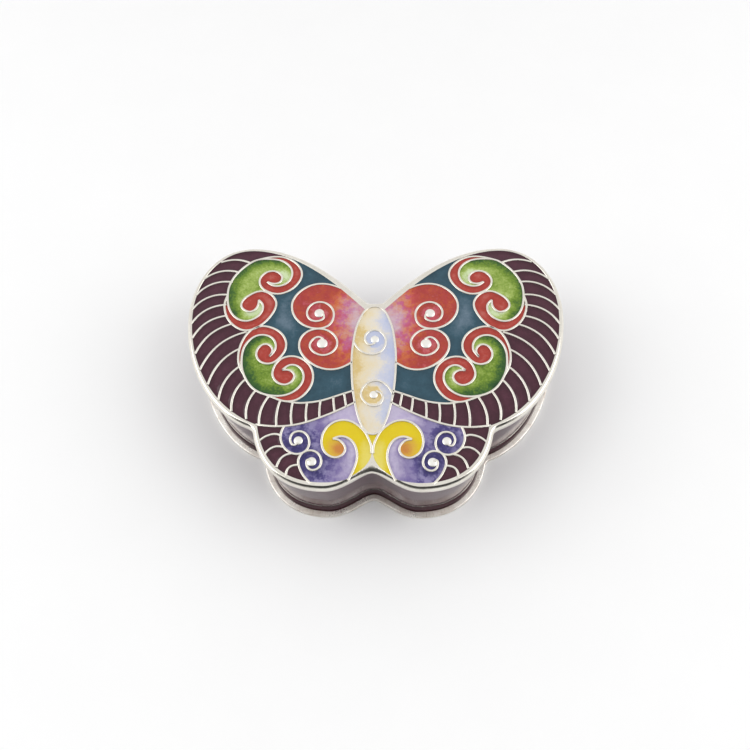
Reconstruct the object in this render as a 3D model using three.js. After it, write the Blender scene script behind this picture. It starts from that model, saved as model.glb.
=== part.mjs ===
// A small enamelled metal box with a butterfly outline: a lift-off lid over a shallow tray.
// Millimetres, +Z up. The origin is on the surface the box stands on, under the middle of the
// outline's length and width. The wings spread along X and the head points to +Y.

import * as THREE from 'three';

// ---- Driving dimensions -------------------------------------------------------------------

const STEP_ALONG_OUTLINE = 1.6;     // spacing of the points along each curve of the outline
const LEAST_STEPS = 2;              // on a short curve

const FOOT_THICKNESS = 0.9;         // flange round the bottom of the tray
const FOOT_REACH = 1.1;             // how far the flange stands outside the outline
const FOOT_CHAMFER = 0.2;
const FLOOR_THICKNESS = 0.8;

const TRAY_BAND_TOP = 2.5;          // shoulder on which the lid comes down
const TRAY_BAND_TOP_INSET = 0.5;
const TRAY_BAND_FOOT_INSET = 0;     // the band flares a little towards the flange
const COLLAR_TOP = 8.2;             // inner collar that keeps the lid in place
const COLLAR_OUTER_INSET = 1.9;
const COLLAR_INNER_INSET = 2.5;

const LID_BOTTOM = 2.65;
const LID_LIP = 0.25;               // bare edge under the lid's side enamel
const LID_TOP = 18.0;               // height of the enamel field's edge
const LID_SIDE_BOTTOM_INSET = 0.5;  // the lid's side leans in a little towards the tray
const LID_SIDE_TOP_REACH = 0.45;
const LID_WALL = 0.7;
const LID_TOP_THICKNESS = 0.65;

const RIM_REACH = 0.95;             // polished rim, outside the outline
const RIM_DEPTH = 1.65;             // from the enamel field's edge down to the rim's lower edge
const RIM_CROWN = 0.12;             // how far the rim stands above the enamel field's edge
const RIM_ROUND = 0.75;             // height of the rounded shoulder

const ENAMEL = 0.4;                 // thickness of the fused enamel
const CLEARANCE = 0.1;              // gap between pieces that lie on each other
const TOP_RISE = 0.8;               // how far the middle of the lid's top stands above its edge

// ---- Outline, right half, from the head round to the tail --------------------------------------

const HEAD = new THREE.Vector2(0, 12.5);
const HEAD_CORNER = new THREE.Vector2(2.0, 12.6);
const FOREWING_CREST = new THREE.Vector2(26.7, 26.6);
const FOREWING_TIP = new THREE.Vector2(38.2, 11.7);
const FOREWING_END = new THREE.Vector2(24.4, -13.9);
const HINDWING_START = new THREE.Vector2(22.3, -16.1);
const HINDWING_FOOT = new THREE.Vector2(9.2, -26.6);
const TAIL_NOTCH = new THREE.Vector2(0, -22.9);

function curve(from, handleX1, handleY1, handleX2, handleY2, to) {
  const firstHandle = new THREE.Vector2(handleX1, handleY1);
  const secondHandle = new THREE.Vector2(handleX2, handleY2);
  return new THREE.CubicBezierCurve(from, firstHandle, secondHandle, to);
}

function rightHalfCurves() {
  return [
    new THREE.LineCurve(HEAD, HEAD_CORNER),
    curve(HEAD_CORNER, 7.2, 17.6, 16.0, 26.6, FOREWING_CREST),
    curve(FOREWING_CREST, 35.0, 26.6, 38.2, 17.7, FOREWING_TIP),
    curve(FOREWING_TIP, 38.2, -0.4, 32.2, -10.7, FOREWING_END),
    curve(FOREWING_END, 23.2, -14.4, 22.6, -14.9, HINDWING_START),
    curve(HINDWING_START, 21.3, -21.3, 17.6, -26.6, HINDWING_FOOT),
    curve(HINDWING_FOOT, 5.5, -26.6, 2.2, -22.9, TAIL_NOTCH),
  ];
}

// The whole outline, counterclockwise seen from above, starting at the tail notch.
function butterflyOutline() {
  const rightHalf = [HEAD];
  for (const piece of rightHalfCurves()) {
    const count = Math.max(LEAST_STEPS, Math.round(piece.getLength() / STEP_ALONG_OUTLINE));
    rightHalf.push(...piece.getSpacedPoints(count).slice(1));
  }
  const leftHalf = rightHalf.slice(1, -1).map((p) => new THREE.Vector2(-p.x, p.y));
  return [...rightHalf.reverse(), ...leftHalf];
}

const OUTLINE = butterflyOutline();

// ---- Rings and skins -----------------------------------------------------------------------

// The outline moved outwards by reach (inwards when negative) and lifted to height z.
function ring(reach, z) {
  const count = OUTLINE.length;
  return OUTLINE.map((point, i) => {
    const before = point.clone().sub(OUTLINE[(i + count - 1) % count]).normalize();
    const after = OUTLINE[(i + 1) % count].clone().sub(point).normalize();
    const normalBefore = new THREE.Vector2(before.y, -before.x);
    const normalAfter = new THREE.Vector2(after.y, -after.x);
    const bisector = normalBefore.add(normalAfter).normalize();
    const miter = reach / bisector.dot(normalAfter);
    return new THREE.Vector3(point.x + bisector.x * miter, point.y + bisector.y * miter, z);
  });
}

// The same ring drawn in towards the middle of the lid by a factor.
function shrunkRing(reach, factor, z) {
  return ring(reach, z).map((p) => new THREE.Vector3(p.x * factor, p.y * factor, z));
}

function joinRings(indices, count, first, second) {
  for (let i = 0; i < count; i += 1) {
    const next = (i + 1) % count;
    const a = first * count + i;
    const b = second * count + i;
    const bNext = second * count + next;
    const aNext = first * count + next;
    indices.push(a, b, bNext, a, bNext, aNext);
  }
}

function capRing(indices, points, start, facesUp) {
  const contour = points.map((p) => new THREE.Vector2(p.x, p.y));
  for (const [a, b, c] of THREE.ShapeUtils.triangulateShape(contour, [])) {
    const turnsLeft = contour[b].clone().sub(contour[a]).cross(contour[c].clone().sub(contour[a])) > 0;
    const triangle = turnsLeft === facesUp ? [a, b, c] : [a, c, b];
    indices.push(...triangle.map((i) => i + start));
  }
}

function skin(rings, indices) {
  const geometry = new THREE.BufferGeometry();
  const positions = rings.flat().flatMap((p) => [p.x, p.y, p.z]);
  geometry.setAttribute('position', new THREE.Float32BufferAttribute(positions, 3));
  geometry.setIndex(indices);
  geometry.computeVertexNormals();
  return geometry;
}

// A body that is closed by a face looking up inside its first ring and one looking down inside its last.
function cappedBody(rings) {
  const count = OUTLINE.length;
  const indices = [];
  capRing(indices, rings[0], 0, true);
  for (let k = 0; k + 1 < rings.length; k += 1) joinRings(indices, count, k, k + 1);
  capRing(indices, rings[rings.length - 1], (rings.length - 1) * count, false);
  return skin(rings, indices);
}

// A band that runs right round the outline; its rings go round the band's own section.
function closedBand(rings) {
  const count = OUTLINE.length;
  const indices = [];
  for (let k = 0; k < rings.length; k += 1) joinRings(indices, count, k, (k + 1) % rings.length);
  return skin(rings, indices);
}

function namedMesh(name, geometry, color, roughness, metalness) {
  const mesh = new THREE.Mesh(geometry, new THREE.MeshStandardMaterial({ color, roughness, metalness }));
  mesh.name = name;
  return mesh;
}

// ---- Tray: floor, wall with the collar inside it, and the foot flange ---------------------------

function tray() {
  const enamelBack = (inset) => -(inset + ENAMEL);
  return cappedBody([
    ring(-COLLAR_INNER_INSET, FLOOR_THICKNESS),
    ring(-COLLAR_INNER_INSET, COLLAR_TOP),
    ring(-COLLAR_OUTER_INSET, COLLAR_TOP),
    ring(-COLLAR_OUTER_INSET, TRAY_BAND_TOP),
    ring(enamelBack(TRAY_BAND_TOP_INSET), TRAY_BAND_TOP),
    ring(enamelBack(TRAY_BAND_FOOT_INSET), FOOT_THICKNESS),
    ring(FOOT_REACH - FOOT_CHAMFER, FOOT_THICKNESS),
    ring(FOOT_REACH, FOOT_THICKNESS - FOOT_CHAMFER),
    ring(FOOT_REACH, FOOT_CHAMFER),
    ring(FOOT_REACH - FOOT_CHAMFER, 0),
  ]);
}

function trayEnamel() {
  const back = -ENAMEL + CLEARANCE;
  const low = FOOT_THICKNESS + CLEARANCE;
  return closedBand([
    ring(-TRAY_BAND_TOP_INSET + back, TRAY_BAND_TOP),
    ring(-TRAY_BAND_TOP_INSET, TRAY_BAND_TOP),
    ring(-TRAY_BAND_FOOT_INSET, low),
    ring(-TRAY_BAND_FOOT_INSET + back, low),
  ]);
}

// ---- Lid: rounded rim, leaning side and a sunk field for the enamel on its top ------------------

const RIM_LOW = LID_TOP - RIM_DEPTH;
const LIP_TOP = LID_BOTTOM + LID_LIP;

// Reach of the side's outer face at height z.
function sideReach(z) {
  const share = (z - LID_BOTTOM) / (RIM_LOW - LID_BOTTOM);
  return THREE.MathUtils.lerp(-LID_SIDE_BOTTOM_INSET, LID_SIDE_TOP_REACH, share);
}

function lid() {
  const fieldFloor = LID_TOP - ENAMEL - CLEARANCE;
  const underside = fieldFloor - LID_TOP_THICKNESS;
  const inner = (z) => sideReach(z) - ENAMEL - LID_WALL;
  return cappedBody([
    ring(0, fieldFloor),
    ring(0, LID_TOP),
    ring(RIM_REACH * 0.35, LID_TOP + RIM_CROWN),
    ring(RIM_REACH * 0.8, LID_TOP - RIM_ROUND * 0.4),
    ring(RIM_REACH, LID_TOP - RIM_ROUND),
    ring(RIM_REACH, RIM_LOW),
    ring(sideReach(RIM_LOW) - ENAMEL, RIM_LOW),
    ring(sideReach(LIP_TOP) - ENAMEL, LIP_TOP),
    ring(sideReach(LIP_TOP), LIP_TOP),
    ring(sideReach(LID_BOTTOM), LID_BOTTOM),
    ring(inner(LID_BOTTOM), LID_BOTTOM),
    ring(inner(underside), underside),
  ]);
}

function lidSideEnamel() {
  const back = -ENAMEL + CLEARANCE;
  const high = RIM_LOW - CLEARANCE;
  const low = LIP_TOP + CLEARANCE;
  return closedBand([
    ring(sideReach(high) + back, high),
    ring(sideReach(high), high),
    ring(sideReach(low), low),
    ring(sideReach(low) + back, low),
  ]);
}

// The enamel field rises gently from its edge to the middle.
function lidTopEnamel() {
  const domed = (factor) => shrunkRing(-CLEARANCE, factor, LID_TOP + TOP_RISE * (1 - factor * factor));
  return cappedBody([
    domed(0.25),
    domed(0.65),
    domed(1),
    ring(-CLEARANCE, LID_TOP - ENAMEL),
  ]);
}

// ---- The object ------------------------------------------------------------------------------

const SILVER = 0xcfccc4;
const PLUM = 0x6a4f58;
const DARK_PLUM = 0x3e2c32;
const PICTURE_BLUE = 0x3c5a69;

const box = new THREE.Group();
box.add(
  namedMesh('tray', tray(), SILVER, 0.3, 1),
  namedMesh('tray_side_enamel', trayEnamel(), DARK_PLUM, 0.2, 0),
  namedMesh('lid', lid(), SILVER, 0.2, 1),
  namedMesh('lid_side_enamel', lidSideEnamel(), PLUM, 0.2, 0),
  namedMesh('lid_top_enamel', lidTopEnamel(), PICTURE_BLUE, 0.15, 0),
);

export default box;
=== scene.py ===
"""The finish of a small enamelled butterfly box, piece by piece as it is put together."""

import math

import bpy
import numpy as np
from mathutils import Matrix, Vector, kdtree
from mathutils.geometry import delaunay_2d_cdt


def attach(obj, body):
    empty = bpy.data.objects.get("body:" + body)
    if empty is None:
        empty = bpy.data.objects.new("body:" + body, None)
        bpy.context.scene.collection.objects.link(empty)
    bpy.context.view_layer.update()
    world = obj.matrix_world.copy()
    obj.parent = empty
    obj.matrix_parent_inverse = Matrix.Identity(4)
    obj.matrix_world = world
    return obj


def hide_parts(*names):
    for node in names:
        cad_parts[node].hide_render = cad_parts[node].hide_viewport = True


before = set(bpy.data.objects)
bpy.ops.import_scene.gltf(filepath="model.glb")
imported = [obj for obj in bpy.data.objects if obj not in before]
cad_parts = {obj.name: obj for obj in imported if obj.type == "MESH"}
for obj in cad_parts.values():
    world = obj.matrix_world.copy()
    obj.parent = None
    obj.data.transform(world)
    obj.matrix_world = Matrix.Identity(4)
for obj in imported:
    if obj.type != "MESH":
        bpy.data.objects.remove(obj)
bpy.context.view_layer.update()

# ---- Tray ----------------------------------------------------------------------------------------
# The lower half of the box: a thin floor, a low wall standing on a flat foot flange, and an inner
# collar that the lid slips over. It is raised from sheet brass, soldered and plated with silver;
# its flange is brushed by handling.

MM = 0.001                          # sizes below are in millimetres
OUTLINE_STEP = 0.36
LEAST_STEPS = 4                     # on a short curve of the outline

FOOT_THICKNESS = 0.9
FOOT_REACH = 1.1                    # reaches and insets are measured from the wall's outline
FOOT_EDGE_ROUND = 0.24
FLOOR_THICKNESS = 0.8
BAND_TOP = 2.5
BAND_TOP_INSET = 0.5
COLLAR_TOP = 8.2
COLLAR_OUTER_INSET = 1.9
COLLAR_INNER_INSET = 2.5
ENAMEL = 0.4                        # thickness of the fired coats
GAP = 0.1                           # between pieces that lie on each other

# Right half of the wall's outline from the head round to the tail, as cubic curves in millimetres.
WALL_CURVES = [
    ((0, 12.5), (0.7, 12.5), (1.4, 12.6), (2.0, 12.6)),
    ((2.0, 12.6), (7.2, 17.6), (16.0, 26.6), (26.7, 26.6)),
    ((26.7, 26.6), (35.0, 26.6), (38.2, 17.7), (38.2, 11.7)),
    ((38.2, 11.7), (38.2, -0.4), (32.2, -10.7), (24.4, -13.9)),
    ((24.4, -13.9), (23.2, -14.4), (22.6, -14.9), (22.3, -16.1)),
    ((22.3, -16.1), (21.3, -21.3), (17.6, -26.6), (9.2, -26.6)),
    ((9.2, -26.6), (5.5, -26.6), (2.2, -22.9), (0, -22.9)),
]


def evenly_spaced(points, count):
    """count + 1 points at equal steps along a polyline, its two ends included."""
    points = np.asarray(points, float)
    walked = np.concatenate([[0], np.cumsum(np.linalg.norm(np.diff(points, axis=0), axis=1))])
    stops = np.linspace(0, walked[-1], count + 1)
    return np.stack([np.interp(stops, walked, points[:, k]) for k in range(points.shape[1])], axis=1)


def cubic(curve, samples=400):
    """Points along a cubic curve given by its start, two handles and end."""
    a, b, c, d = (np.array(p, float) for p in curve)
    t = np.linspace(0, 1, samples)[:, None]
    return (1 - t) ** 3 * a + 3 * (1 - t) ** 2 * t * b + 3 * (1 - t) * t * t * c + t ** 3 * d


def whole_outline(curves):
    """Both halves, counterclockwise from the tail; every outline gets the same number of points."""
    half = [cubic(curves[0])[:1]]
    for curve, wall_curve in zip(curves, WALL_CURVES):
        length = np.linalg.norm(np.diff(cubic(wall_curve), axis=0), axis=1).sum()
        half.append(evenly_spaced(cubic(curve), max(LEAST_STEPS, round(length / OUTLINE_STEP)))[1:])
    half = np.vstack(half)
    return np.vstack([half[::-1], half[1:-1] * (-1, 1)])


def moved_out(outline, reach):
    """The outline moved outwards by reach, each point along the line that halves its corner."""
    before = outline - np.roll(outline, 1, axis=0)
    after = np.roll(outline, -1, axis=0) - outline
    before /= np.linalg.norm(before, axis=1)[:, None]
    after /= np.linalg.norm(after, axis=1)[:, None]
    outward = np.stack([after[:, 1], -after[:, 0]], axis=1)
    middle = outward + np.stack([before[:, 1], -before[:, 0]], axis=1)
    middle /= np.linalg.norm(middle, axis=1)[:, None]
    return outline + middle * (reach / (middle * outward).sum(axis=1))[:, None]


def plain_mesh(name, points_mm, faces, sharp_degrees=35):
    """A smooth-shaded mesh object from points in millimetres."""
    mesh = bpy.data.meshes.new(name)
    mesh.from_pydata((np.asarray(points_mm) * MM).tolist(), [], faces)
    mesh.validate()
    mesh.polygons.foreach_set("use_smooth", [True] * len(mesh.polygons))
    mesh.set_sharp_from_angle(angle=math.radians(sharp_degrees))
    piece = bpy.data.objects.new(name, mesh)
    bpy.context.scene.collection.objects.link(piece)
    return piece


def shell_of_rings(name, rings, closed_round=False):
    """Rings are (outline, height), in order from the inner floor round the outside to the bottom."""
    count = len(rings[0][0])
    points = np.vstack([np.column_stack([outline, np.full(count, height)])
                        for outline, height in rings])
    faces = []
    for k in range(len(rings) - (0 if closed_round else 1)):
        low, high = k * count, (k + 1) % len(rings) * count
        for i in range(count):
            j = (i + 1) % count
            faces.append((low + i, high + i, high + j, low + j))
    if not closed_round:
        faces.append(tuple(range(count)))
        faces.append(tuple(reversed(range(len(points) - count, len(points)))))
    return plain_mesh(name, points, faces)


def quarter_turn(reach_from, height_from, reach_to, height_to, steps, out_first, fullness=2.0):
    """(reach, height) pairs along a rounded corner; 2 is an ellipse, less is nearer to a bevel."""
    pairs = []
    for k in range(1, steps + 1):
        turn = math.pi / 2 * k / steps
        rising = math.sin(turn) ** (2 / fullness)
        falling = 1 - max(math.cos(turn), 0) ** (2 / fullness)
        across, along = (rising, falling) if out_first else (falling, rising)
        pairs.append((reach_from + (reach_to - reach_from) * across,
                      height_from + (height_to - height_from) * along))
    return pairs


WALL = whole_outline(WALL_CURVES)


def wall_ring(reach, height):
    return moved_out(WALL, reach), height


# Shader groups: each is built once and placed in every material that shows its effect.
def new_group(name, inputs, outputs):
    """An empty shader node group with its input and output nodes."""
    group = bpy.data.node_groups.new(name, "ShaderNodeTree")
    for label, kind, value in inputs:
        socket = group.interface.new_socket(name=label, in_out="INPUT", socket_type=kind)
        socket.default_value = value
    for label, kind in outputs:
        group.interface.new_socket(name=label, in_out="OUTPUT", socket_type=kind)
    start = group.nodes.new("NodeGroupInput")
    end = group.nodes.new("NodeGroupOutput")
    return group, start, end


def noise(tree, vector, scale, detail=3.0, roughness=0.55):
    node = tree.nodes.new("ShaderNodeTexNoise")
    node.inputs["Scale"].default_value = scale
    node.inputs["Detail"].default_value = detail
    node.inputs["Roughness"].default_value = roughness
    tree.links.new(vector, node.inputs["Vector"])
    return node.outputs["Fac"]


def math_node(tree, operation, first, second, clamp=False):
    """first and second are numbers or sockets."""
    node = tree.nodes.new("ShaderNodeMath")
    node.operation = operation
    node.use_clamp = clamp
    for socket, value in zip(node.inputs, (first, second)):
        if isinstance(value, (int, float)):
            socket.default_value = value
        else:
            tree.links.new(value, socket)
    return node.outputs[0]


def spread(tree, value, low, high, to_low=0.0, to_high=1.0):
    """Stretches the span from low to high over the span from to_low to to_high, and stops at its ends."""
    node = tree.nodes.new("ShaderNodeMapRange")
    ends = {"From Min": low, "From Max": high, "To Min": to_low, "To Max": to_high}
    for label, number in ends.items():
        node.inputs[label].default_value = number
    tree.links.new(value, node.inputs["Value"])
    return node.outputs["Result"]


def mixed(tree, share, first, second):
    """first and second are colours or sockets; share runs from 0 for the first to 1 for the second."""
    node = tree.nodes.new("ShaderNodeMix")
    node.data_type = "RGBA"
    factor, first_colour, second_colour = node.inputs[0], node.inputs[6], node.inputs[7]
    tree.links.new(share, factor)
    for socket, value in ((first_colour, first), (second_colour, second)):
        if isinstance(value, tuple):
            socket.default_value = value
        else:
            tree.links.new(value, socket)
    return node.outputs[2]


def object_coordinates(tree, stretch=(1, 1, 1), turn=0.0):
    """The place on the object, stretched along the axes and turned about the upright one."""
    place = tree.nodes.new("ShaderNodeTexCoord")
    mapping = tree.nodes.new("ShaderNodeMapping")
    mapping.inputs["Scale"].default_value = stretch
    mapping.inputs["Rotation"].default_value = (0, 0, turn)
    tree.links.new(place.outputs["Object"], mapping.inputs["Vector"])
    return mapping.outputs["Vector"]


def linear(red, green, blue):
    """A colour given as 0-255 display values, in the scene's linear values."""
    return tuple(c / 255 / 12.92 if c <= 10 else ((c / 255 + 0.055) / 1.055) ** 2.4
                 for c in (red, green, blue)) + (1.0,)


# Crossing scratches: how finely each set is drawn along X, Y and Z, and how it is turned.
HAIRLINES = [((9000, 380, 9000), 0.35), ((420, 8200, 8200), -0.2), ((7600, 500, 7600), 1.2)]


def worn_silver_group():
    """Plated silver: two tones in soft patches, hairline scratches and a faint unevenness."""
    group, start, end = new_group(
        "worn silver",
        [("Bright", "NodeSocketColor", linear(236, 231, 220)),
         ("Dull", "NodeSocketColor", linear(190, 178, 164)),
         ("Dullness", "NodeSocketFloat", 0.3),
         ("Polish Roughness", "NodeSocketFloat", 0.1),
         ("Scratches", "NodeSocketFloat", 0.3)],
        [("Color", "NodeSocketColor"), ("Roughness", "NodeSocketFloat"), ("Height", "NodeSocketFloat")])
    place = object_coordinates(group)
    patches = noise(group, place, 320, 4, 0.6)
    fine = noise(group, place, 1900, 3, 0.6)
    sets = [spread(group, noise(group, object_coordinates(group, stretch, turn), 1, 2, 0.6), 0.6, 0.7)
            for stretch, turn in HAIRLINES]
    hairlines = math_node(group, "MAXIMUM", math_node(group, "MAXIMUM", sets[0], sets[1]), sets[2])
    hairlines = math_node(group, "MULTIPLY", hairlines, start.outputs["Scratches"])

    dull = math_node(group, "MULTIPLY", spread(group, patches, 0.38, 0.68), start.outputs["Dullness"])
    dull = math_node(group, "ADD", dull, math_node(group, "MULTIPLY", hairlines, 0.5), clamp=True)
    colour = mixed(group, dull, start.outputs["Bright"], start.outputs["Dull"])
    group.links.new(colour, end.inputs["Color"])

    dull_roughness = math_node(group, "MULTIPLY", dull, 0.35)
    fine_roughness = math_node(group, "MULTIPLY", spread(group, fine, 0.3, 0.7), 0.05)
    rough = math_node(group, "ADD", start.outputs["Polish Roughness"], dull_roughness, clamp=True)
    group.links.new(math_node(group, "ADD", rough, fine_roughness), end.inputs["Roughness"])

    height = math_node(group, "SUBTRACT", math_node(group, "MULTIPLY", patches, 0.8),
                       math_node(group, "MULTIPLY", hairlines, 0.25))
    height = math_node(group, "ADD", height, math_node(group, "MULTIPLY", fine, 0.12))
    group.links.new(height, end.inputs["Height"])
    return group


WORN_SILVER = worn_silver_group()


def new_material(name):
    material = bpy.data.materials.new(name)
    material.use_nodes = True
    return material, material.node_tree, material.node_tree.nodes["Principled BSDF"]


def bump(tree, shader, height, distance):
    node = tree.nodes.new("ShaderNodeBump")
    node.inputs["Strength"].default_value = 1.0
    node.inputs["Distance"].default_value = distance
    tree.links.new(height, node.inputs["Height"])
    tree.links.new(node.outputs["Normal"], shader.inputs["Normal"])


def silver_material(name, bright, dull, dullness, polish, scratches, unevenness):
    """bright and dull are display colours; unevenness is the depth of the surface's waves in metres."""
    material, tree, shader = new_material(name)
    finish = tree.nodes.new("ShaderNodeGroup")
    finish.node_tree = WORN_SILVER
    finish.inputs["Bright"].default_value = linear(*bright)
    finish.inputs["Dull"].default_value = linear(*dull)
    finish.inputs["Dullness"].default_value = dullness
    finish.inputs["Polish Roughness"].default_value = polish
    finish.inputs["Scratches"].default_value = scratches
    shader.inputs["Metallic"].default_value = 1.0
    tree.links.new(finish.outputs["Color"], shader.inputs["Base Color"])
    tree.links.new(finish.outputs["Roughness"], shader.inputs["Roughness"])
    bump(tree, shader, finish.outputs["Height"], unevenness)
    return material


def finished(piece, material, slot, *nodes):
    """Gives a piece its material, hangs it on what it rides on and hides the nodes it stands for; slot is
    not used.
    """
    piece.data.materials.clear()
    piece.data.materials.append(material)
    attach(piece, "root")
    if nodes:
        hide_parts(*nodes)


tray_rings = [
    wall_ring(-COLLAR_INNER_INSET, FLOOR_THICKNESS),
    wall_ring(-COLLAR_INNER_INSET, COLLAR_TOP),
    wall_ring(-COLLAR_OUTER_INSET, COLLAR_TOP),
    wall_ring(-COLLAR_OUTER_INSET, BAND_TOP),
    wall_ring(-BAND_TOP_INSET - ENAMEL, BAND_TOP),
    wall_ring(-ENAMEL, FOOT_THICKNESS),
    wall_ring(FOOT_REACH - FOOT_EDGE_ROUND, FOOT_THICKNESS),
]
edge_top = FOOT_THICKNESS - FOOT_EDGE_ROUND
upper_edge = quarter_turn(FOOT_REACH - FOOT_EDGE_ROUND, FOOT_THICKNESS, FOOT_REACH, edge_top,
                          steps=5, out_first=True)
lower_edge = quarter_turn(FOOT_REACH, FOOT_EDGE_ROUND, FOOT_REACH - FOOT_EDGE_ROUND, 0,
                          steps=4, out_first=False)
flange_edge = upper_edge + [(FOOT_REACH, FOOT_EDGE_ROUND)] + lower_edge
tray_rings += [wall_ring(reach, height) for reach, height in flange_edge]
tray_shell = shell_of_rings("tray_shell", tray_rings)
tray_silver = silver_material("brushed tray silver", (246, 242, 235), (186, 166, 150),
                              dullness=0.45, polish=0.24, scratches=0.9, unevenness=0.00005)
finished(tray_shell, tray_silver, "tray_metal", "tray")

# ---- Enamel band on the tray ---------------------------------------------------------------------
# A narrow band of plum glass fired on the tray's low wall, between the foot flange and the
# shoulder that the lid comes down on. It is one continuous coat that runs right round. Its plum is
# painted darker than the lid's side coat: painted shade under the lid's edge.


def fired_glass_group():
    """Fired enamel: clouds and grains that shift its tone, a wavy surface and tiny pits."""
    group, start, end = new_group(
        "fired glass",
        [("Tone", "NodeSocketFloat", 0.5), ("Clouds", "NodeSocketFloat", 0.2),
         ("Grain", "NodeSocketFloat", 0.1), ("Gloss Roughness", "NodeSocketFloat", 0.06)],
        [("Tone", "NodeSocketFloat"), ("Patch", "NodeSocketFloat"),
         ("Roughness", "NodeSocketFloat"), ("Height", "NodeSocketFloat")])
    place = object_coordinates(group)
    clouds = noise(group, place, 420, 4, 0.6)
    grain = noise(group, place, 2500, 4, 0.75)
    cloud_shift = math_node(group, "MULTIPLY", math_node(group, "SUBTRACT", clouds, 0.5),
                            start.outputs["Clouds"])
    grain_shift = math_node(group, "MULTIPLY", math_node(group, "SUBTRACT", grain, 0.5),
                            start.outputs["Grain"])
    tone = math_node(group, "ADD", start.outputs["Tone"], cloud_shift)
    group.links.new(math_node(group, "ADD", tone, grain_shift, clamp=True), end.inputs["Tone"])

    patches = spread(group, noise(group, place, 620, 5, 0.65), 0.44, 0.56)
    group.links.new(patches, end.inputs["Patch"])

    cloudy_roughness = math_node(group, "MULTIPLY", spread(group, clouds, 0.3, 0.7), 0.05)
    rough = math_node(group, "ADD", start.outputs["Gloss Roughness"], cloudy_roughness)
    group.links.new(rough, end.inputs["Roughness"])

    wave = noise(group, place, 260, 2, 0.5)
    ripple = math_node(group, "MULTIPLY", noise(group, place, 900, 1, 0.5), 0.22)
    pits = math_node(group, "MULTIPLY", spread(group, noise(group, place, 2600, 1, 0.5), 0.68, 0.8), 0.12)
    height = math_node(group, "SUBTRACT", math_node(group, "ADD", wave, ripple), pits)
    group.links.new(height, end.inputs["Height"])
    return group


FIRED_GLASS = fired_glass_group()
GLASS_IOR = 1.46


def glass_material(name, tones, clouds, grain, waviness, roughness=0.06, shaded=False, patch_tones=None):
    """tones are (position, display colour) along the glass's tone, 0 to 1. A shaded glass takes it
    from the piece's own tone layer. patch_tones colour the patches where another powder shows; on the
    violet glass they are painted reflection."""
    material, tree, shader = new_material(name)
    finish = tree.nodes.new("ShaderNodeGroup")
    finish.node_tree = FIRED_GLASS
    finish.inputs["Clouds"].default_value = clouds
    finish.inputs["Grain"].default_value = grain
    finish.inputs["Gloss Roughness"].default_value = roughness
    if shaded:
        layer = tree.nodes.new("ShaderNodeAttribute")
        layer.attribute_name = "tone"
        tree.links.new(layer.outputs["Fac"], finish.inputs["Tone"])

    def ramp(stops):
        node = tree.nodes.new("ShaderNodeValToRGB")
        while len(node.color_ramp.elements) < len(stops):
            node.color_ramp.elements.new(0.5)
        for element, (position, colour) in zip(node.color_ramp.elements, stops):
            element.position = position
            element.color = linear(*colour)
        tree.links.new(finish.outputs["Tone"], node.inputs["Fac"])
        return node.outputs["Color"]

    colour = ramp(tones)
    if patch_tones:
        colour = mixed(tree, finish.outputs["Patch"], colour, ramp(patch_tones))
    tree.links.new(colour, shader.inputs["Base Color"])
    tree.links.new(finish.outputs["Roughness"], shader.inputs["Roughness"])
    shader.inputs["IOR"].default_value = GLASS_IOR
    bump(tree, shader, finish.outputs["Height"], waviness)
    return material


BAND_EDGE = 0.12                    # softening of the band's upper edge
BAND_MIDDLE_INSET = 0.35            # share of the top's inset at half height, so the band curves

band_low = FOOT_THICKNESS + GAP
tray_band = shell_of_rings("tray_band_glass", [
    wall_ring(-BAND_TOP_INSET - ENAMEL + GAP, BAND_TOP),
    wall_ring(-BAND_TOP_INSET - BAND_EDGE, BAND_TOP),
    wall_ring(-BAND_TOP_INSET, BAND_TOP - BAND_EDGE),
    wall_ring(-BAND_TOP_INSET * BAND_MIDDLE_INSET, (BAND_TOP + band_low) / 2),
    wall_ring(0, band_low),
    wall_ring(-ENAMEL + GAP, band_low),
], closed_round=True)
# painted shade: the band's plum is darker than the side coat's, for the shade under the lid
band_glass_with_painted_shade = glass_material("plum band with painted shade", [(0.2, (44, 10, 20)), (0.8, (70, 24, 36))],
                            clouds=0.5, grain=0.2, waviness=0.00003)
finished(tray_band, band_glass_with_painted_shade, "dark_enamel", "tray_side_enamel")

# ---- Lid shell -----------------------------------------------------------------------------------
# The deep lid, drawn from silver-plated sheet: straight sides, a polished rounded rim that stands
# a little proud all round, and a sunk field that holds the enamel picture. Between the two tail
# lobes the rim widens into a bare pointed tongue.

LID_BOTTOM = 2.65
LID_LIP = 0.25
LID_TOP = 18.0
LID_SIDE_BOTTOM_INSET = 0.5
LID_SIDE_TOP_REACH = 0.45
LID_WALL = 0.7
LID_TOP_THICKNESS = 0.65
RIM_REACH = 0.95
RIM_LOW = LID_TOP - 1.65
RIM_LOW_ROUND = 0.15
RIM_CROWN = 0.12                    # how far the rim stands above the field's edge
RIM_SHOULDER = 0.55                 # height of the rim's rounded outer shoulder
RIM_FLAT = 0.34                     # how far the flat of the rim reaches outside the wall
FLAT_HEIGHT = LID_TOP + RIM_CROWN * 0.9
FIELD_LIP = 0.02                    # the rim's inner edge, above the enamel
LIP_PROUD = 0.02                    # the bare lip stands out past the enamel
LIP_ROUND = 0.07

# The field's outline follows the wall's, but has sharp corners and a deep tongue at the tail.
FIELD_CURVES = [
    ((0, 12.5), (0.7, 12.4), (1.4, 12.05), (2.1, 11.75)),
    ((2.1, 11.75), (7.0, 16.6), (16.0, 26.6), (26.7, 26.6)),
    WALL_CURVES[2],
    ((38.2, 11.7), (38.2, -0.8), (31.6, -11.4), (22.5, -14.6)),
    ((22.5, -14.6), (22.45, -14.9), (22.4, -15.2), (22.35, -15.5)),
    ((22.35, -15.5), (21.2, -20.7), (18.0, -26.25), (9.2, -26.25)),
    ((9.2, -26.25), (5.2, -26.25), (0.7, -24.8), (0, -19.8)),
]
FIELD = whole_outline(FIELD_CURVES)
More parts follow.
